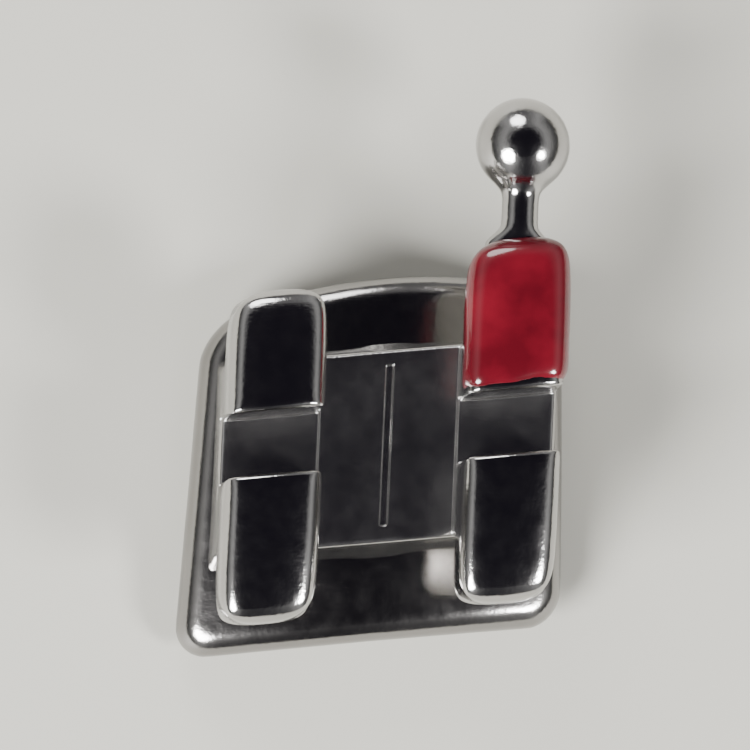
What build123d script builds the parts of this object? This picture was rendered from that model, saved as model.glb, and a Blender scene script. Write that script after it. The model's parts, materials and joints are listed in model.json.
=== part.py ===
from build123d import *
import math
import os

# An orthodontic twin bracket for an upper left canine, with its mesh pad, ball hook and enamel mark.
# Millimetres and degrees. X runs along the archwire slot, away from the midline. Y is towards the gum
# and Z is out of the tooth. The origin is under the slot's centre, in the plane that the pad rests on.

# Archwire slot
slot_width = 0.559
slot_depth = 0.711
slot_lead = 0.05
tip_angle = 8

# Towers, with two tie wings each. One arc crowns both wings of a tower.
tower_width = 0.90
channel_width = 1.26
gingival_reach = 1.38
incisal_reach = 1.60
wing_crown_radius = 9.30
wing_tip_thickness = 0.44
wing_root_thickness = 0.62
wing_hollow = 0.03
wing_rim_radius = 0.16
wing_heel_radius = 0.09
wing_root_share = 0.29
wing_plan_radius = 0.24

# Stem and saddle
stem_height = 0.42
gingival_undercut = 0.58
incisal_undercut = 0.66
foot_flare = 0.14
foot_height = 0.16
foot_radius = 0.12
saddle_drop = 0.05
saddle_round = 0.12
scribe_width = 0.07
scribe_depth = 0.05
scribe_corner = 0.025

# Ball hook
ball_diameter = 0.86
neck_diameter = 0.33
hook_wing_extra = 0.25
hook_reach = 2.50
hook_drop = 0.38
web_width = 0.62
web_length = 0.20
web_thickness = 0.28

# Bonding pad, curved in both directions like the tooth's face
pad_thickness = 0.25
pad_incisal = 1.76
pad_gingival = 1.20
pad_crown = 1.47
pad_incisal_width = 3.56
pad_gingival_width = 3.30
pad_incisal_corner = 0.34
pad_gingival_corner = 0.48
pad_rim_radius = 0.18
tooth_radius_across = 5.0
tooth_radius_along = 12.0

# Woven mesh on the pad's back
wire_diameter = 0.14
mesh_pitch = 0.40
mesh_margin = 0.14

# Enamel mark
enamel_thickness = 0.035
enamel_skirt = 0.20
enamel_setback = 0.05

# How far a cutting shape runs past what it cuts
overrun = 1.0

pad_under = 0.0
pad_top = pad_under + pad_thickness
slot_floor = pad_top + stem_height
wing_top = slot_floor + slot_depth
hook_level = wing_top - hook_drop
stem_gingival = gingival_reach - gingival_undercut
stem_incisal = incisal_reach - incisal_undercut
body_width = 2 * tower_width + channel_width
tower_offset = (channel_width + tower_width) / 2
lean = math.tan(math.radians(tip_angle))
half_slot = slot_width / 2
wire_radius = wire_diameter / 2

# The tooth's face is an arc across, swung about an axis that lies deep behind the pad. It is drawn
# upright and then turned by the tip angle, because the tooth leans against the slot.
across_centre = pad_under - tooth_radius_across
swing_axis = Axis((0, 0, pad_under - tooth_radius_along), (1, 0, 0))
swing_reach = pad_incisal + overrun
swing_angle = math.degrees(swing_reach / tooth_radius_along)
tooth_turn = Rot(0, 0, -tip_angle)


def swung(face):
    """A face in the upright tooth's XZ plane, swung to both sides along the tooth, then turned."""
    return tooth_turn * revolve(face.rotate(swing_axis, -swing_angle), swing_axis, 2 * swing_angle)


def arc_above(rise):
    """The tooth's arc across, raised off the tooth's face by rise, out past the pad's sides."""
    radius = tooth_radius_across + rise
    reach = pad_incisal_width / 2 + overrun
    side = across_centre + math.sqrt(radius**2 - reach**2)
    return ThreePointArc((-reach, 0, side), (0, 0, across_centre + radius), (reach, 0, side))


def tooth_space(rise):
    """All the space from the tooth's face, raised by rise, down to well behind it."""
    top = arc_above(rise)
    back = pad_under - tooth_radius_across + overrun
    left, right = top @ 0, top @ 1
    rim = Polyline(right, (right.X, 0, back), (left.X, 0, back), left)
    return swung(make_face([top, rim]))


def leaning(points):
    """An outline in the XY plane whose points lean with the tooth's long axis."""
    return make_face(Polyline(*[(x + y * lean, y) for x, y in points], close=True))


def leaning_block(width, low, high, centre, corner, bottom, top):
    """A block with leaning sides and rounded upright corners."""
    left, right = centre - width / 2, centre + width / 2
    face = leaning([(left, low), (right, low), (right, high), (left, high)])
    return extrude(Pos(0, 0, bottom) * fillet(face.vertices(), corner), top - bottom)


def crown(y, gingival):
    """Height of a tower's crowned top, which is highest halfway between its two wing tips."""
    middle = (gingival - incisal_reach) / 2
    return wing_top - wing_crown_radius + math.sqrt(wing_crown_radius**2 - (y - middle) ** 2)


def crown_arc(start, end, gingival, rise):
    """The crowned top from one place along the tower to another, raised by rise."""
    return ThreePointArc(*[(0, y, crown(y, gingival) + rise) for y in (start, (start + end) / 2, end)])


def half_profile(reach, stem, side, gingival):
    """One half of the towers' outline, from the slot's floor over the wing and down the stem."""
    mouth, tip, root, foot = side * half_slot, side * reach, side * stem, side * (stem + foot_flare)
    tip_under = crown(tip, gingival) - wing_tip_thickness
    root_under = wing_top - wing_root_thickness
    hollow = ((tip + root) / 2, (tip_under + root_under) / 2 + wing_hollow)
    stem_points = [
        (root, root_under), (root, pad_top + foot_height), (foot, pad_top), (foot, pad_under - pad_thickness)
    ]
    return [
        Line((0, mouth, slot_floor), (0, mouth, crown(mouth, gingival))),
        crown_arc(mouth, tip, gingival, 0),
        Line((0, tip, crown(tip, gingival)), (0, tip, tip_under)),
        ThreePointArc((0, tip, tip_under), (0, *hollow), (0, root, root_under)),
        Polyline(*[(0, y, z) for y, z in stem_points]),
    ]


def side_profile(gingival):
    """The towers' outline seen from the side: slot, crowned wings with hollow undersides, and stem.

    The round at each wing's root takes a share of the undercut's depth, which leaves room for the tip.
    """
    ends = [(gingival, stem_gingival, 1), (incisal_reach, stem_incisal, -1)]
    outline = [edge for reach, stem, side in ends for edge in half_profile(reach, stem, side, gingival)]
    foot_level = pad_under - pad_thickness
    outline.append(Line((0, half_slot, slot_floor), (0, -half_slot, slot_floor)))
    outline.append(
        Line((0, stem_gingival + foot_flare, foot_level), (0, -stem_incisal - foot_flare, foot_level))
    )
    face = make_face(outline)
    for reach, stem, side in ends:
        root_radius = (reach - stem) * wing_root_share
        rounds = {wing_top - wing_root_thickness: root_radius, pad_top + foot_height: foot_radius}
        for level, radius in rounds.items():
            face = fillet(face.vertices().sort_by_distance(Vector(0, side * stem, level))[0], radius)
        mouth = Vector(0, side * half_slot, crown(side * half_slot, gingival))
        face = chamfer(face.vertices().sort_by_distance(mouth)[0], slot_lead)
    return face


def rounded_rims(solid, centre, reach, side, gingival):
    """Rounds one wing: first the rim of its top, all but the slot's edge, then the rim of its underside."""
    middle = side * (reach + half_slot) / 2
    top = Vector(centre + middle * lean, middle, crown(middle, gingival))
    rim = solid.faces().sort_by_distance(top)[0].edges().sort_by(lambda edge: edge.center().Y * side)
    solid = fillet(rim[1:], wing_rim_radius)
    tip = side * reach
    heel = Vector(centre + tip * lean, tip, crown(tip, gingival) - wing_tip_thickness)
    return fillet(solid.edges().sort_by_distance(heel)[0], wing_heel_radius)


def tower(centre, gingival):
    """One tower with its pair of wings and its share of the slot."""
    span = body_width + 2 * overrun
    solid = extrude(Pos(-span / 2, 0, 0) * side_profile(gingival), span, dir=(1, 0, 0))
    solid = solid & leaning_block(
        tower_width, -incisal_reach, gingival, centre, wing_plan_radius, pad_under - pad_thickness, wing_top
    )
    solid = rounded_rims(solid, centre, gingival, 1, gingival)
    return rounded_rims(solid, centre, incisal_reach, -1, gingival)


def stem():
    """The stem and the saddle, from tower to tower, with the scribe line along the tooth's axis."""
    top = slot_floor - saddle_drop
    low, high = -stem_incisal, stem_gingival
    back, front = low - overrun, high + overrun
    points = [
        (low - foot_flare, pad_under - pad_thickness),
        (high + foot_flare, pad_under - pad_thickness),
        (high + foot_flare, pad_top),
        (high, pad_top + foot_height),
        (high, top),
        (low, top),
        (low, pad_top + foot_height),
        (low - foot_flare, pad_top),
    ]
    face = make_face(Polyline(*[(0, y, z) for y, z in points], close=True))
    for place, radius in {3: foot_radius, 4: saddle_round, 5: saddle_round, 6: foot_radius}.items():
        corner = face.vertices().sort_by_distance(Vector(0, *points[place]))[0]
        face = fillet(corner, radius)
    span = body_width + 2 * overrun
    solid = extrude(Pos(-span / 2, 0, 0) * face, span, dir=(1, 0, 0))
    plan = [(-tower_offset, back), (tower_offset, back), (tower_offset, front), (-tower_offset, front)]
    block = extrude(Pos(0, 0, pad_under - overrun) * leaning(plan), wing_top - pad_under + overrun)
    line = leaning_block(scribe_width, back, front, 0, scribe_corner, top - scribe_depth, wing_top)
    return (solid & block) - line


def hook(wing_end):
    """The ball hook: a web out of the wing's end, a round neck and the ball."""
    root = wing_end - wing_plan_radius
    web_end = wing_end + web_length
    web = leaning([
        (tower_offset - web_width / 2, root),
        (tower_offset + web_width / 2, root),
        (tower_offset + web_width / 2, wing_end),
        (tower_offset + neck_diameter / 2, web_end),
        (tower_offset - neck_diameter / 2, web_end),
        (tower_offset - web_width / 2, wing_end),
    ])
    web = extrude(Pos(0, 0, hook_level - web_thickness / 2) * web, web_thickness)
    ball_centre = Vector(tower_offset + hook_reach * lean, hook_reach, hook_level)
    neck_start = Vector(tower_offset + root * lean, root, hook_level)
    along = ball_centre - neck_start
    neck = Plane(origin=neck_start, z_dir=along) * extrude(Circle(neck_diameter / 2), along.length)
    return web + neck + Pos(*ball_centre) * Sphere(ball_diameter / 2)


def bracket_body():
    """The moulded body: two towers on one stem, hollowed below to seat on the pad, and the hook."""
    wing_end = gingival_reach + hook_wing_extra
    solid = tower(-tower_offset, gingival_reach) + tower(tower_offset, wing_end) + stem()
    return solid - tooth_space(pad_thickness) + hook(wing_end)


def pad_outline(inset):
    """The pad's outline, drawn in by inset: sides that lean and taper, and an arched gingival edge."""
    low, high, crown = inset - pad_incisal, pad_gingival - inset, pad_crown - inset
    wide, narrow = pad_incisal_width / 2 - inset, pad_gingival_width / 2 - inset
    right, left = (narrow + high * lean, high), (high * lean - narrow, high)
    sides = Polyline(left, (low * lean - wide, low), (low * lean + wide, low), right)
    arch = ThreePointArc(right, (crown * lean, crown), left)
    face = make_face([sides, arch])
    for corner in face.vertices().sort_by(Axis.Y)[:2]:
        face = fillet(face.vertices().sort_by_distance(Vector(corner))[0], pad_incisal_corner)
    for spot in (right, left):
        face = fillet(face.vertices().sort_by_distance(Vector(*spot))[0], pad_gingival_corner)
    return face


def pad_block(inset):
    """The pad's outline as an upright block, tall enough for every layer of the pad."""
    bottom = pad_under - tooth_radius_across / 2
    return extrude(Pos(0, 0, bottom) * pad_outline(inset), pad_top + overrun - bottom)


def base_pad():
    """The curved pad, with its outer rim rounded."""
    shell = tooth_space(pad_thickness) - tooth_space(0)
    pad = shell & pad_block(0)
    rim = pad.faces().sort_by(Axis.Z)[-1].edges()
    return fillet(rim, pad_rim_radius)


def mesh_places(low, high):
    """Places of the wires between low and high, one pitch apart and evenly set in."""
    gaps = math.floor((high - low - wire_diameter) / mesh_pitch)
    return [(low + high) / 2 + (place - gaps / 2) * mesh_pitch for place in range(gaps + 1)]


def mesh_run(start, end):
    """Both ends of the stretch of a line that lies within the mesh's outline, in the upright tooth."""
    outline = Rot(0, 0, tip_angle) * pad_outline(mesh_margin)
    run = Line(start, end) & outline
    return run @ 0, run @ 1


def weft_wires():
    """The wires across the tooth, laid against the pad's hollow face and cut square at both ends."""
    radius = tooth_radius_across - wire_radius
    axis = Axis((0, 0, across_centre), (0, 1, 0))
    section = Pos(0, 0, across_centre + radius) * (Plane.YZ * Circle(wire_radius))
    reach = pad_incisal_width + overrun
    wires = []
    for place in mesh_places(mesh_margin - pad_incisal, pad_crown - mesh_margin):
        ends = mesh_run((-reach, place), (reach, place))
        left, right = [math.degrees(math.asin(end.X / radius)) for end in ends]
        wire = revolve(section.rotate(axis, left), axis, right - left)
        along = math.degrees(place / tooth_radius_along)
        wires.append(tooth_turn * wire.rotate(swing_axis, -along))
    return wires


def warp_wires():
    """The wires along the tooth, crossing under the wires that run across it, cut square at both ends."""
    radius = tooth_radius_across - wire_diameter - wire_radius
    side = pad_gingival_width / 2 - mesh_margin
    reach = pad_incisal + pad_crown
    wires = []
    for place in mesh_places(-side, side):
        x = radius * math.sin(place / radius)
        z = across_centre + radius * math.cos(place / radius)
        swing = tooth_radius_along + z - pad_under
        low, high = [
            math.degrees(math.asin(end.Y / swing)) for end in mesh_run((x, -reach), (x, reach))
        ]
        section = Pos(x, 0, z) * (Plane.XZ * Circle(wire_radius))
        wires.append(tooth_turn * revolve(section.rotate(swing_axis, -high), swing_axis, high - low))
    return wires


def id_dot(body):
    """The enamel cap, wrapped over the crowned top and the upper sides of the hook's wing."""
    start = half_slot + slot_lead + enamel_setback
    wing_end = gingival_reach + hook_wing_extra
    end = wing_end + enamel_thickness
    top = crown_arc(start, end, wing_end, enamel_thickness)
    under = crown_arc(start, end, wing_end, -enamel_skirt)
    section = make_face([top, under, Line(top @ 0, under @ 0), Line(top @ 1, under @ 1)])
    span = body_width + 2 * overrun
    cap = extrude(Pos(-span / 2, 0, 0) * section, span, dir=(1, 0, 0)) & leaning_block(
        tower_width + 2 * enamel_thickness, -overrun, end, tower_offset,
        wing_plan_radius + enamel_thickness, slot_floor, wing_top + overrun
    )
    rim = cap.faces().sort_by(Axis.Z)[-1].edges().sort_by(Axis.Y)
    return fillet(rim[1:], wing_rim_radius + enamel_thickness) - body


body = bracket_body()
warp = warp_wires()
nodes = {
    "bracket_body": [body],
    "base_pad": [base_pad()],
    "mesh_warp_wires": warp,
    "mesh_weft_wires": weft_wires(),
    "id_dot": [id_dot(body)],
}

# The lowest ends of the warp wires are what the bracket rests on.
lift = -min(wire.bounding_box().min.Z for wire in warp)
os.makedirs("parts", exist_ok=True)
for name, solids in nodes.items():
    placed = [Pos(0, 0, lift) * solid for solid in solids]
    whole = placed[0] if len(placed) == 1 else Compound(children=placed)
    export_step(whole, f"parts/{name}.step")
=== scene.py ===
import bmesh
import bpy
import json
import math
from mathutils import Matrix, Vector


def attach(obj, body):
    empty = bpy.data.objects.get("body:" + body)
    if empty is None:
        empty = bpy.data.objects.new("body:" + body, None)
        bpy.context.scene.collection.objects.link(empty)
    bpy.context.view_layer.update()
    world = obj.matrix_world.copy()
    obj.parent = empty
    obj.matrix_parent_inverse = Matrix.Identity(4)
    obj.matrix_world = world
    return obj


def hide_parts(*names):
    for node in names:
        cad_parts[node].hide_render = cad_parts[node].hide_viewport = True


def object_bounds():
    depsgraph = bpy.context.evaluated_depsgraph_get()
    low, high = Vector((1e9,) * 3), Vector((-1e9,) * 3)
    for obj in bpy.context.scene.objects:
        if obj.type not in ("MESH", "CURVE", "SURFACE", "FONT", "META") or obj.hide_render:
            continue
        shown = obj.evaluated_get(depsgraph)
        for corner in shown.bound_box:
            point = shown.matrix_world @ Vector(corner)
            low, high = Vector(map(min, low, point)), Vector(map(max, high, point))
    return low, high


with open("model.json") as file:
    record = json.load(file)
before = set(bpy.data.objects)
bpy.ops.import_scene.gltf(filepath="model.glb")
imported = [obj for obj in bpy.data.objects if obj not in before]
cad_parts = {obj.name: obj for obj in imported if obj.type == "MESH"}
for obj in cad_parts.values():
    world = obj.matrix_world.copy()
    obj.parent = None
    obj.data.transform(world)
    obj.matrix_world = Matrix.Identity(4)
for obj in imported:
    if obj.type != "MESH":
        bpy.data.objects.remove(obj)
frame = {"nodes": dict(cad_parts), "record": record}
cad_low, cad_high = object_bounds()

# The bonding pad: a thin plate of stainless steel, stamped to the outline of a canine's face and
# pressed to its curve in both directions. Its outer rim is tumbled round. Like every piece here it
# is shaped in millimetres, with the slot along X, and brought to metres when it is done.
MM = 0.001
tip_angle = math.radians(8)
shading_angle = math.radians(38)
pad_thickness = 0.25
stem_height = 0.42
pad_rim, pad_burr = 0.18, 0.045
pad_rim_steps, pad_burr_steps = 5, 2
pad_incisal, pad_gingival, pad_peak = -1.76, 1.20, 1.755
pad_wide, pad_narrow = 1.77, 1.65
tooth_across, tooth_along = 5.0, 12.0
pad_corner_cuts = {"incisal": 0.335, "gingival": 0.34, "peak": 1.33}
pad_corner_steps = {"incisal": 8, "gingival": 8, "peak": 16}
pad_rings, pad_first_ring = 9, 0.97
cloud_scale, cloud_shade = 1400, 0.93
haze_scale, haze_spread = 7000, 0.15
pit_scale, pit_depth = 26000, 0.004
scratch_scale, scratch_depth, scratch_share = 9000, 0.003, 0.5
scratch_turn, scratch_stretch = (0.3, 0.5, 0.9), (0.6, 9, 9)
recess_fade = 0.35

places = {mount["name"]: Vector(mount["pos_m"]) / MM for mount in frame["record"]["mounts"]}
slot_floor = places["slot_floor"].z
pad_top = slot_floor - stem_height
pad_under = pad_top - pad_thickness
slope = math.tan(tip_angle)
LEANING = Matrix(((1, slope, 0, 0), (0, 1, 0, 0), (0, 0, 1, 0), (0, 0, 0, 1)))


def tooth_face(x, y, rise):
    """Height of the tooth's face, raised by rise, over a place in the bracket's plan."""
    across = x * math.cos(tip_angle) - y * math.sin(tip_angle)
    along = x * math.sin(tip_angle) + y * math.cos(tip_angle)
    bulge = math.sqrt((tooth_across + rise) ** 2 - across**2) - tooth_across
    return pad_under + math.sqrt((tooth_along + bulge) ** 2 - along**2) - tooth_along


def begin(name):
    """Names the new primitive and opens it for editing, with nothing else selected."""
    piece = bpy.context.object
    piece.name = piece.data.name = name
    bpy.ops.object.select_all(action="DESELECT")
    piece.select_set(True)
    bpy.ops.object.mode_set(mode="EDIT")
    return piece


def pick(kind, test):
    """Selects only the faces, edges or verts whose middle and direction pass a test."""
    mesh = bpy.context.edit_object.data
    bpy.ops.mesh.select_mode(type={"faces": "FACE", "edges": "EDGE", "verts": "VERT"}[kind])
    bpy.ops.mesh.select_all(action="DESELECT")
    shape = bmesh.from_edit_mesh(mesh)
    shape.normal_update()
    for item in getattr(shape, kind):
        if kind == "faces":
            found = test(item.calc_center_median(), item.normal)
        elif kind == "edges":
            ends = [corner.co for corner in item.verts]
            found = test((ends[0] + ends[1]) / 2, (ends[1] - ends[0]).normalized())
        else:
            found = test(item.co, item.normal)
        item.select_set(bool(found))
    shape.select_flush_mode()
    bmesh.update_edit_mesh(mesh)


def pull_out(move, scale=(1, 1, 1), centre=(0, 0, 0)):
    """Extrudes what is selected by a move, and scales the new end about a centre."""
    bpy.ops.mesh.extrude_region_move(TRANSFORM_OT_translate={"value": move})
    bpy.ops.transform.resize(value=scale, center_override=centre)


def refine(piece, *modifiers):
    """Adds modifiers, each a kind and its settings, and applies them in turn."""
    if piece.mode == "EDIT":
        bpy.ops.object.mode_set(mode="OBJECT")
    bpy.context.view_layer.objects.active = piece
    for kind, settings in modifiers:
        modifier = piece.modifiers.new(kind.title(), kind)
        for key, value in settings.items():
            setattr(modifier, key, value)
        bpy.ops.object.modifier_apply(modifier=modifier.name)


def smooth_levels(levels):
    """A subdivision surface, as refine takes it."""
    return "SUBSURF", {"levels": levels, "render_levels": levels, "quality": 4}


def complete(piece, finish, slot, *nodes):
    """Turns a piece's faces outwards, brings it to metres and hands it its finish and its place."""
    bpy.context.view_layer.objects.active = piece
    bpy.ops.object.mode_set(mode="EDIT")
    bpy.ops.mesh.select_all(action="SELECT")
    bpy.ops.mesh.normals_make_consistent(inside=False)
    bpy.ops.object.mode_set(mode="OBJECT")
    piece.data.transform(Matrix.Scale(MM, 4))
    bpy.ops.object.select_all(action="DESELECT")
    piece.select_set(True)
    bpy.ops.object.shade_smooth_by_angle(angle=shading_angle)
    piece.data.materials.clear()
    piece.data.materials.append(finish)
    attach(piece, "root")
    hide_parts(*nodes)


def steel(name, tint, roughness, grain, recess=None):
    """Stainless steel with cloudy polish, fine moulding grain and hairline scratches.

    The recess is a level and how much duller the steel is below it, where polishing doesn't reach.
    """
    finish = bpy.data.materials.new(name)
    finish.use_nodes = True
    nodes, links = finish.node_tree.nodes, finish.node_tree.links
    shader = nodes["Principled BSDF"]
    shader.inputs["Metallic"].default_value = 1
    place = nodes.new("ShaderNodeTexCoord")

    def noise(scale, detail, stretch=None):
        speckle = nodes.new("ShaderNodeTexNoise")
        speckle.inputs["Scale"].default_value = scale
        speckle.inputs["Detail"].default_value = detail
        source = place.outputs["Object"]
        if stretch:
            turned = nodes.new("ShaderNodeMapping")
            turned.inputs["Rotation"].default_value = scratch_turn
            turned.inputs["Scale"].default_value = stretch
            links.new(source, turned.inputs["Vector"])
            source = turned.outputs["Vector"]
        links.new(source, speckle.inputs["Vector"])
        return speckle.outputs["Fac"]

    def spread(source, low, high):
        span = nodes.new("ShaderNodeMapRange")
        span.inputs["From Min"].default_value = 0.3
        span.inputs["From Max"].default_value = 0.7
        span.inputs["To Min"].default_value = low
        span.inputs["To Max"].default_value = high
        links.new(source, span.inputs["Value"])
        return span.outputs["Result"]

    shade = nodes.new("ShaderNodeMix")
    shade.data_type = "RGBA"
    shade.inputs["A"].default_value = (*[part * cloud_shade for part in tint], 1)
    shade.inputs["B"].default_value = (*tint, 1)
    links.new(spread(noise(cloud_scale, 3), 0, 1), shade.inputs["Factor"])
    links.new(shade.outputs["Result"], shader.inputs["Base Color"])
    haze = noise(haze_scale, 5)
    dullness = spread(haze, roughness * (1 - haze_spread), roughness * (1 + haze_spread))
    if recess:
        level, duller = recess
        split = nodes.new("ShaderNodeSeparateXYZ")
        links.new(place.outputs["Object"], split.inputs["Vector"])
        depth = nodes.new("ShaderNodeMapRange")
        depth.interpolation_type = "SMOOTHSTEP"
        depth.inputs["From Min"].default_value = level * MM
        depth.inputs["From Max"].default_value = (level + recess_fade) * MM
        depth.inputs["To Min"].default_value = duller
        depth.inputs["To Max"].default_value = 0
        links.new(split.outputs["Z"], depth.inputs["Value"])
        total = nodes.new("ShaderNodeMath")
        links.new(dullness, total.inputs[0])
        links.new(depth.outputs["Result"], total.inputs[1])
        dullness = total.outputs["Value"]
    links.new(dullness, shader.inputs["Roughness"])
    pits = nodes.new("ShaderNodeBump")
    pits.inputs["Strength"].default_value = grain
    pits.inputs["Distance"].default_value = pit_depth * MM
    links.new(noise(pit_scale, 6), pits.inputs["Height"])
    hairlines = nodes.new("ShaderNodeBump")
    hairlines.inputs["Strength"].default_value = grain * scratch_share
    hairlines.inputs["Distance"].default_value = scratch_depth * MM
    links.new(noise(scratch_scale, 2, scratch_stretch), hairlines.inputs["Height"])
    links.new(pits.outputs["Normal"], hairlines.inputs["Normal"])
    links.new(hairlines.outputs["Normal"], shader.inputs["Normal"])
    return finish


bpy.ops.mesh.primitive_circle_add(vertices=5, radius=1, fill_type="NGON")
pad = begin("base_pad_plate")
corners = [
    (-pad_wide, pad_incisal), (pad_wide, pad_incisal), (pad_narrow, pad_gingival),
    (0, pad_peak), (-pad_narrow, pad_gingival),
]
outline = bmesh.from_edit_mesh(pad.data)
for corner, (x, y) in zip(sorted(outline.verts, key=lambda point: point.index), corners):
    corner.co = (x, y, 0)
bmesh.update_edit_mesh(pad.data)
for corner, test in (
    ("incisal", lambda spot, way: spot.y < 0),
    ("gingival", lambda spot, way: 0 < spot.y < pad_peak - pad_rim),
    ("peak", lambda spot, way: spot.y > pad_peak - pad_rim),
):
    pick("verts", test)
    bpy.ops.mesh.bevel(
        offset=pad_corner_cuts[corner], segments=pad_corner_steps[corner], affect="VERTICES"
    )
bpy.ops.mesh.select_mode(type="FACE")
bpy.ops.mesh.select_all(action="SELECT")
pull_out((0, 0, pad_thickness))
for level, radius, steps in (
    (pad_thickness, pad_rim, pad_rim_steps), (0, pad_burr, pad_burr_steps),
):
    pick("edges", lambda spot, run: abs(run.z) < 0.5 and abs(spot.z - level) < 0.001)
    bpy.ops.mesh.bevel(offset=radius, segments=steps, affect="EDGES", clamp_overlap=True)
for level in (0, pad_thickness):
    pick("faces", lambda spot, facing: abs(facing.z) > 0.99 and abs(spot.z - level) < 0.001)
    for ring in range(pad_rings):
        left = pad_rings - ring
        share = (left - 0.5) / (left + 0.5) if ring else pad_first_ring
        pull_out((0, 0, 0), (share, share, 1))
    bpy.ops.mesh.merge(type="CENTER")
bpy.ops.object.mode_set(mode="OBJECT")
pad.data.transform(LEANING)
refine(pad, smooth_levels(1))
for point in pad.data.vertices:
    point.co.z = tooth_face(point.co.x, point.co.y, point.co.z)
# The pad's steel is tinted darker than the body's and the mesh's. This is painted shade, standing
# in for the shade the pad lies in beside and under the towers.
pad_steel = steel("pad_steel_finish", tint=(0.34, 0.33, 0.32), roughness=0.16, grain=0.3)
complete(pad, pad_steel, "pad_steel", "base_pad")

# The mesh on the pad's back: a plain weave of drawn stainless wire, brazed on so that the adhesive
# can grip it. Each wire keeps the place and the ends of the one that it stands for in the frame.
wire_radius = 0.07
mesh_pitch = 0.40
weave_phase = 0.5
wire_steps = 8
weld_distance = 0.0005


def woven_wires(name, node, axis):
    """The wires of one direction, each waving up and down past the wires that cross it."""
    bpy.ops.object.select_all(action="DESELECT")
    source = bpy.data.objects.new("straight_wires", frame["nodes"][node].data.copy())
    bpy.context.scene.collection.objects.link(source)
    source.data.transform(Matrix.Rotation(tip_angle, 4, "Z") @ Matrix.Scale(1 / MM, 4))
    bpy.context.view_layer.objects.active = source
    source.select_set(True)
    bpy.ops.object.mode_set(mode="EDIT")
    bpy.ops.mesh.select_all(action="SELECT")
    bpy.ops.mesh.remove_doubles(threshold=weld_distance)
    bpy.ops.mesh.separate(type="LOOSE")
    bpy.ops.object.mode_set(mode="OBJECT")
    parts = list(bpy.context.selected_objects)
    curve = bpy.data.curves.new(name, "CURVE")
    curve.dimensions = "3D"
    curve.bevel_depth = wire_radius
    curve.bevel_resolution = 3
    curve.use_fill_caps = True
    spans = []
    for part in parts:
        across = [point.co[axis] for point in part.data.vertices]
        along = [point.co[1 - axis] for point in part.data.vertices]
        spans.append(((min(across) + max(across)) / 2, min(along), max(along)))
        bpy.data.objects.remove(part)
    for count, (middle, start, end) in enumerate(sorted(spans)):
        wave = curve.splines.new("POLY")
        steps = max(wire_steps, round((end - start) / mesh_pitch * wire_steps))
        wave.points.add(steps)
        for step, point in enumerate(wave.points):
            run = start + (end - start) * step / steps
            across, along = (middle, run) if axis == 0 else (run, middle)
            weave = math.cos(math.pi * (run / mesh_pitch + weave_phase + count))
            x = across * math.cos(tip_angle) + along * math.sin(tip_angle)
            y = along * math.cos(tip_angle) - across * math.sin(tip_angle)
            depth = 2 * wire_radius - wire_radius * weave
            point.co = (x, y, tooth_face(x, y, -depth), 1)
    sketch = bpy.data.objects.new("wire_curves", curve)
    wires = bpy.data.objects.new(name, bpy.data.meshes.new_from_object(sketch))
    bpy.data.objects.remove(sketch)
    bpy.context.scene.collection.objects.link(wires)
    return wires


mesh_steel = steel("mesh_steel_finish", tint=(0.52, 0.52, 0.52), roughness=0.2, grain=0.3)
warp = woven_wires("mesh_warp_woven", "mesh_warp_wires", 0)
complete(warp, mesh_steel, "mesh_steel", "mesh_warp_wires")
weft = woven_wires("mesh_weft_woven", "mesh_weft_wires", 1)
complete(weft, mesh_steel, "mesh_steel", "mesh_weft_wires")

# The body: injection-moulded stainless steel, sintered and polished until every edge is soft. Two
# towers with a tie wing at each end stand on one stem, which is brazed to the pad. The archwire
# slot crosses both towers, and a scribe line runs along the saddle between them.
channel = 0.63
tower = 0.90
outer = channel + tower
half_slot = 0.2795
stem_ends = {1: 0.80, -1: 0.94}
wing_ends = {1: 1.38, -1: 1.60}
hook_wing_extra = 0.25
saddle_drop = 0.05
wing_root = 0.62
wing_heel_rise = 0.18
wing_crown_radius = 9.30
wing_cross_radius = 2.4
foot_height, foot_flare = 0.16, 0.12
seat_depth = 0.06
scribe_half, scribe_depth = 0.035, 0.045
scribe_ends = (-0.78, 0.66)
edge_radii = {
    "plain": 0.06, "rim": 0.16, "heel": 0.10, "plan": 0.29, "mouth": 0.06,
    "slot": 0.02, "saddle": 0.06, "scribe": 0.012, "root": 0.12,
}
sharp_angle, edge_steps = math.radians(25), 3

slot_depth = 2 * (places["archwire_slot"].z - slot_floor)
wing_top = slot_floor + slot_depth
saddle_top = slot_floor - saddle_drop
wing_under = wing_top - wing_root


def cut_at(axis, spots):
    """Cuts the whole cage with planes square to an axis."""
    for spot in spots:
        bpy.ops.mesh.select_all(action="SELECT")
        plane, facing = Vector(), Vector()
        plane[axis], facing[axis] = spot, 1
        bpy.ops.mesh.bisect(plane_co=plane, plane_no=facing, threshold=0.00001)


def near(value, *targets):
    """Whether a value is one of these, to within a hundredth of a millimetre."""
    return any(abs(value - target) < 0.01 for target in targets)


def crown_drop(x, y):
    """How far the crowned top of a tower has fallen away, at a place along and across the tower."""
    gingival = wing_ends[1] + (hook_wing_extra if x > 0 else 0)
    along = y - (gingival - wing_ends[-1]) / 2
    across = abs(x) - channel - tower / 2
    crown = wing_crown_radius - math.sqrt(wing_crown_radius**2 - along**2)
    return crown + across**2 / (2 * wing_cross_radius)


bpy.ops.mesh.primitive_cube_add(size=1)
body = begin("bracket_body_moulded")
stem_length = stem_ends[1] + stem_ends[-1]
stem_low = pad_top - seat_depth
bpy.ops.transform.resize(value=(2 * outer, stem_length, saddle_top - stem_low))
bpy.ops.transform.translate(
    value=(0, (stem_ends[1] - stem_ends[-1]) / 2, (saddle_top + stem_low) / 2)
)
cut_at(0, (-channel - tower / 2, -channel, -scribe_half, scribe_half, channel, channel + tower / 2))
cut_at(1, (-half_slot, half_slot, *scribe_ends))
cut_at(2, (pad_top + foot_height,))

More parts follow.
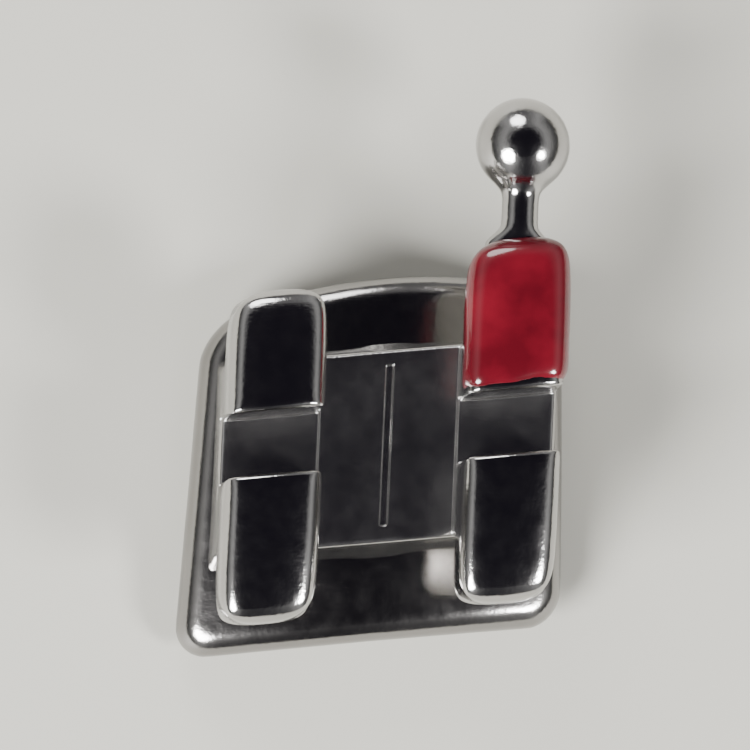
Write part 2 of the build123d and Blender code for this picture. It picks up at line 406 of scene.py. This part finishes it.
pick("faces", lambda spot, facing: facing.z > 0.9 and abs(spot.x) > channel)
pull_out((0, 0, saddle_drop))
pick("faces", lambda spot, facing: facing.z > 0.9 and abs(spot.x) > channel
     and abs(spot.y) > half_slot)
pull_out((0, 0, wing_under - slot_floor))
pull_out((0, 0, wing_top - wing_under))
for side in (1, -1):
    pick("faces", lambda spot, facing: facing.y * side > 0.9 and spot.z > wing_under
         and abs(spot.y) > half_slot + 0.01)
    pull_out((0, side * (wing_ends[side] - stem_ends[side]), 0))
pick("verts", lambda spot, way: spot.x > 0 and near(spot.y, wing_ends[1]))
bpy.ops.transform.translate(value=(0, hook_wing_extra, 0))
tips = (wing_ends[1], wing_ends[1] + hook_wing_extra, -wing_ends[-1])
pick("verts", lambda spot, way: near(spot.y, *tips) and near(spot.z, wing_under))
bpy.ops.transform.translate(value=(0, 0, wing_heel_rise))

pick("faces", lambda spot, facing: facing.z > 0.9 and near(spot.z, saddle_top)
     and abs(spot.x) < scribe_half and scribe_ends[0] < spot.y < scribe_ends[1])
pull_out((0, 0, -scribe_depth))
for side in (1, -1):
    pick("verts", lambda spot, way: near(spot.z, stem_low) and near(spot.y, side * stem_ends[side]))
    bpy.ops.transform.translate(value=(0, side * foot_flare, 0))

shape = bmesh.from_edit_mesh(body.data)
weight = shape.edges.layers.float.new("bevel_weight_edge")
for edge in shape.edges:
    if edge.calc_face_angle(0) < sharp_angle:
        continue
    spot = (edge.verts[0].co + edge.verts[1].co) / 2
    run = (edge.verts[1].co - edge.verts[0].co).normalized()
    kind = "plain"
    if near(abs(spot.y), half_slot) and abs(run.x) > 0.9:
        kind = "mouth" if near(spot.z, wing_top) else "slot"
    elif near(spot.z, wing_top):
        kind = "rim"
    elif near(spot.y, *tips):
        kind = "plan" if abs(run.z) > 0.9 else "heel"
    elif near(spot.z, wing_under) and abs(run.x) > 0.9:
        kind = "root"
    elif abs(spot.x) < 2 * scribe_half:
        kind = "scribe"
    elif near(spot.z, saddle_top, slot_floor) and abs(run.y) > 0.9:
        kind = "slot" if near(abs(spot.x), channel) else "saddle"
    elif near(spot.z, stem_low, pad_top + foot_height):
        continue
    edge[weight] = edge_radii[kind] / edge_radii["plan"]
bmesh.update_edit_mesh(body.data)
refine(
    body,
    ("BEVEL", {"width": edge_radii["plan"], "segments": edge_steps, "limit_method": "WEIGHT",
               "use_clamp_overlap": False, "offset_type": "OFFSET"}),
    smooth_levels(2),
)
for point in body.data.vertices:
    share = min(1, max(0, (point.co.z - wing_under) / wing_heel_rise))
    point.co.z -= share * crown_drop(point.co.x, point.co.y)
bare = body.data.copy()
body.data.transform(LEANING)
for point in body.data.vertices:
    low = min(1, max(0, (saddle_top - point.co.z) / (saddle_top - pad_top)))
    sag = tooth_face(point.co.x, point.co.y, pad_thickness) - pad_top
    point.co.z += sag * low

# The ball hook: part of the same moulding. A flat web grows out of the wing's end, narrows to a
# round neck and ends in a ball, over which an elastic is looped.
ball_radius, neck_radius = 0.4295, 0.165
web_half_width, web_half_height = 0.31, 0.14
web_length, web_sunk, web_shoulder = 0.20, 0.25, 0.04
collar_ends, collar_swell = (0.12, 0.04), 1.02
web_steps, ball_steps = 6, 16
hook_sides = 32

ball = places["ball_hook"]
wing_tip = (wing_ends[1] + hook_wing_extra) / math.cos(tip_angle)
hook_length = ball.y / math.cos(tip_angle)
stations = [(wing_tip - web_sunk, web_half_width, web_half_height)]
for step in range(web_steps + 1):
    share = step / web_steps
    ease = share * share * (3 - 2 * share)
    stations.append((
        wing_tip - web_shoulder + web_length * share,
        web_half_width + (neck_radius - web_half_width) * ease,
        web_half_height + (neck_radius - web_half_height) * ease,
    ))
throat = math.asin(neck_radius / ball_radius)
neck_end = hook_length - ball_radius * math.cos(throat)
collar_radius = neck_radius * collar_swell
stations.append((neck_end - collar_ends[0], neck_radius, neck_radius))
stations.append((neck_end - collar_ends[1], collar_radius, collar_radius))
for step in range(1, ball_steps):
    turn = throat + (math.pi - throat) * step / ball_steps
    girth = ball_radius * math.sin(turn)
    stations.append((hook_length - ball_radius * math.cos(turn), girth, girth))
bpy.ops.mesh.primitive_circle_add(vertices=hook_sides, radius=1, fill_type="NGON")
hook = begin("hook_shape")
bpy.ops.transform.resize(value=(*stations[0][1:], 1))
bpy.ops.transform.translate(value=(0, 0, stations[0][0]))
for (start, wide, high), (end, next_wide, next_high) in zip(stations, stations[1:]):
    pull_out((0, 0, end - start), (next_wide / wide, next_high / high, 1), (0, 0, end))
bpy.ops.mesh.extrude_region_move(
    TRANSFORM_OT_translate={"value": (0, 0, hook_length + ball_radius - stations[-1][0])}
)
bpy.ops.mesh.merge(type="CENTER")
bpy.ops.mesh.select_all(action="SELECT")
bpy.ops.mesh.normals_make_consistent(inside=False)
refine(hook, smooth_levels(1))
swing = Matrix.Rotation(-tip_angle, 4, "Z") @ Matrix.Rotation(math.radians(-90), 4, "X")
root = Vector((ball.x - ball.y * slope, 0, ball.z))
hook.data.transform(Matrix.Translation(root) @ swing)
refine(body, ("BOOLEAN", {"operation": "UNION", "object": hook, "solver": "EXACT"}))
bpy.data.objects.remove(hook)

# The enamel mark: a drop of red enamel brushed over the hook's wing. It is a skin on the wing's own
# shape, over its top and down its rounded sides, and it ends all round in a soft, uneven bead.
enamel_thickness = 0.045
enamel_skirt = 0.24
enamel_clear = 0.085
enamel_start = half_slot + enamel_clear
enamel_bead = 0.16
enamel_wander = 0.012
enamel_sunk = 0.4
pool_scale, pool_stops = 2300, ((0.32, (0.07, 0.003, 0.007)), (0.68, (0.125, 0.005, 0.012)))
ripple_scale, ripple_depth = 5200, 0.006

enamel = bpy.data.objects.new("id_dot_enamel", bare)
bpy.context.scene.collection.objects.link(enamel)
bpy.context.view_layer.objects.active = enamel
begin("id_dot_enamel")
bpy.ops.mesh.select_all(action="SELECT")
bpy.ops.mesh.bisect(
    plane_co=(0, 0, wing_top - 2 * enamel_skirt), plane_no=(0, 0, 1),
    use_fill=True, clear_inner=True,
)
pick("verts", lambda spot, way: spot.x < 0 or spot.y < 0)
bpy.ops.mesh.delete(type="VERT")
refine(enamel, smooth_levels(1))
for point, facing in [(point, point.normal.copy()) for point in enamel.data.vertices]:
    x, y, z = point.co
    waves = math.sin(7 * x + 2) + math.sin(9 * y - 1) + 0.5 * math.sin(17 * (x + z))
    height = z - wing_top + crown_drop(x, y) + enamel_skirt
    share = min(1, (min(height, y - enamel_start) + enamel_wander * waves) / enamel_bead)
    rise = math.sqrt(share * (2 - share)) if share > 0 else max(-enamel_sunk, 2 * share)
    point.co += facing * enamel_thickness * rise
enamel.data.transform(LEANING)
refine(enamel, ("BOOLEAN", {"operation": "DIFFERENCE", "object": body, "solver": "EXACT"}))


def enamel_finish():
    """Deep red enamel, darker in random pools, under a glossy skin with a slight ripple."""
    finish = bpy.data.materials.new("red_enamel_finish")
    finish.use_nodes = True
    nodes, links = finish.node_tree.nodes, finish.node_tree.links
    shader = nodes["Principled BSDF"]
    place = nodes.new("ShaderNodeTexCoord")
    pooled = nodes.new("ShaderNodeTexNoise")
    pooled.inputs["Scale"].default_value = pool_scale
    pooled.inputs["Detail"].default_value = 3
    links.new(place.outputs["Object"], pooled.inputs["Vector"])
    shade = nodes.new("ShaderNodeValToRGB")
    for stop, (position, colour) in zip(shade.color_ramp.elements, pool_stops):
        stop.position, stop.color = position, (*colour, 1)
    links.new(pooled.outputs["Fac"], shade.inputs["Fac"])
    links.new(shade.outputs["Color"], shader.inputs["Base Color"])
    shader.inputs["Roughness"].default_value = 0.16
    shader.inputs["Coat Weight"].default_value = 0.6
    shader.inputs["Coat Roughness"].default_value = 0.05
    ripple = nodes.new("ShaderNodeTexNoise")
    ripple.inputs["Scale"].default_value = ripple_scale
    ripple.inputs["Detail"].default_value = 2
    links.new(place.outputs["Object"], ripple.inputs["Vector"])
    skin = nodes.new("ShaderNodeBump")
    skin.inputs["Strength"].default_value = 0.35
    skin.inputs["Distance"].default_value = ripple_depth * MM
    links.new(ripple.outputs["Fac"], skin.inputs["Height"])
    links.new(skin.outputs["Normal"], shader.inputs["Normal"])
    return finish


complete(enamel, enamel_finish(), "red_enamel", "id_dot")
body_steel = steel(
    "body_steel_finish", tint=(0.50, 0.49, 0.48), roughness=0.12, grain=0.4,
    recess=(slot_floor, 0.09),
)
complete(body, body_steel, "body_steel", "bracket_body")

# The floor is a plain pale sheet.
floor_size = 0.6
floor_colour, floor_roughness = (0.44, 0.43, 0.385), 0.6

bpy.ops.mesh.primitive_plane_add(size=floor_size)
floor = bpy.context.object
floor.name = "floor"
paper = bpy.data.materials.new("floor_paper")
paper.use_nodes = True
sheet = paper.node_tree.nodes["Principled BSDF"]
sheet.inputs["Base Color"].default_value = (*floor_colour, 1)
sheet.inputs["Roughness"].default_value = floor_roughness
floor.data.materials.append(paper)

# Soft studio light: a tent that is pale at the two sides, dark overhead, in front and behind, and
# dim at the horizon, with three round softboxes part of the way up. The polished faces mirror its
# dark part.
tent_back, tent_front = 0.64, -0.6
tent_stops = (
    (0.58, (0.03, 0.026, 0.042)), (0.82, (1, 1, 1)),
    (0.93, (0.7, 0.7, 0.7)), (1, (0.15, 0.15, 0.15)),
)
tent_strength = 0.5
aim_height = 0.0012

world = bpy.data.worlds.new("studio")
bpy.context.scene.world = world
world.use_nodes = True
nodes, links = world.node_tree.nodes, world.node_tree.links
around = nodes.new("ShaderNodeTexCoord")
split = nodes.new("ShaderNodeSeparateXYZ")
links.new(around.outputs["Generated"], split.inputs["Vector"])
ahead = split.outputs["Y"]
for operation, limit in (("MINIMUM", tent_back), ("MAXIMUM", tent_front)):
    held = nodes.new("ShaderNodeMath")
    held.operation = operation
    held.inputs[1].default_value = limit
    links.new(ahead, held.inputs[0])
    ahead = held.outputs["Value"]
spot = nodes.new("ShaderNodeCombineXYZ")
links.new(split.outputs["X"], spot.inputs["X"])
links.new(ahead, spot.inputs["Y"])
reach = nodes.new("ShaderNodeVectorMath")
reach.operation = "LENGTH"
links.new(spot.outputs["Vector"], reach.inputs[0])
tent = nodes.new("ShaderNodeValToRGB")
stops = tent.color_ramp.elements
for count, (position, colour) in enumerate(tent_stops):
    stop = stops[count] if count < len(stops) else stops.new(position)
    stop.position, stop.color = position, (*colour, 1)
links.new(reach.outputs["Value"], tent.inputs["Fac"])
links.new(tent.outputs["Color"], nodes["Background"].inputs["Color"])
nodes["Background"].inputs["Strength"].default_value = tent_strength

middle = Vector(((cad_low.x + cad_high.x) / 2, (cad_low.y + cad_high.y) / 2, aim_height))


def softbox(name, azimuth, elevation, distance, size, power):
    """A round area light that looks at the bracket from an azimuth, 0 from -Y and 90 from +X."""
    turn, rise = math.radians(azimuth), math.radians(elevation)
    level = math.cos(rise)
    way = Vector((math.sin(turn) * level, -math.cos(turn) * level, math.sin(rise)))
    light = bpy.data.lights.new(name, "AREA")
    light.shape = "DISK"
    light.size = size
    light.energy = power
    lamp = bpy.data.objects.new(name, light)
    bpy.context.scene.collection.objects.link(lamp)
    lamp.location = middle + way * distance
    lamp.rotation_euler = (-way).to_track_quat("-Z", "Y").to_euler()


softbox("key_softbox", azimuth=-58, elevation=37, distance=0.10, size=0.05, power=0.32)
softbox("side_softbox", azimuth=52, elevation=40, distance=0.10, size=0.028, power=0.13)
softbox("back_softbox", azimuth=190, elevation=30, distance=0.12, size=0.06, power=0.08)

# The camera looks almost straight down, a little from the left and from below, with the slot rising
# to the right. It stands far off with a long lens, as the bracket is a small part of a wide view.
view_left, view_below, slot_rise = math.radians(7), math.radians(5), math.radians(5.5)
lens = 800
view_distance = 0.15
camera_data = bpy.data.cameras.new("camera")
camera_data.lens = lens
camera_data.clip_start, camera_data.clip_end = 0.001, 2
camera = bpy.data.objects.new("camera", camera_data)
bpy.context.scene.collection.objects.link(camera)
back = Vector((-math.tan(view_left), -math.tan(view_below), 1)).normalized()
upwards = Vector((math.sin(slot_rise), math.cos(slot_rise), 0))
right = upwards.cross(back).normalized()
up = back.cross(right)
turn = Matrix((right, up, back)).transposed().to_4x4()
camera.matrix_world = Matrix.Translation(middle + back * view_distance) @ turn
bpy.context.scene.camera = camera
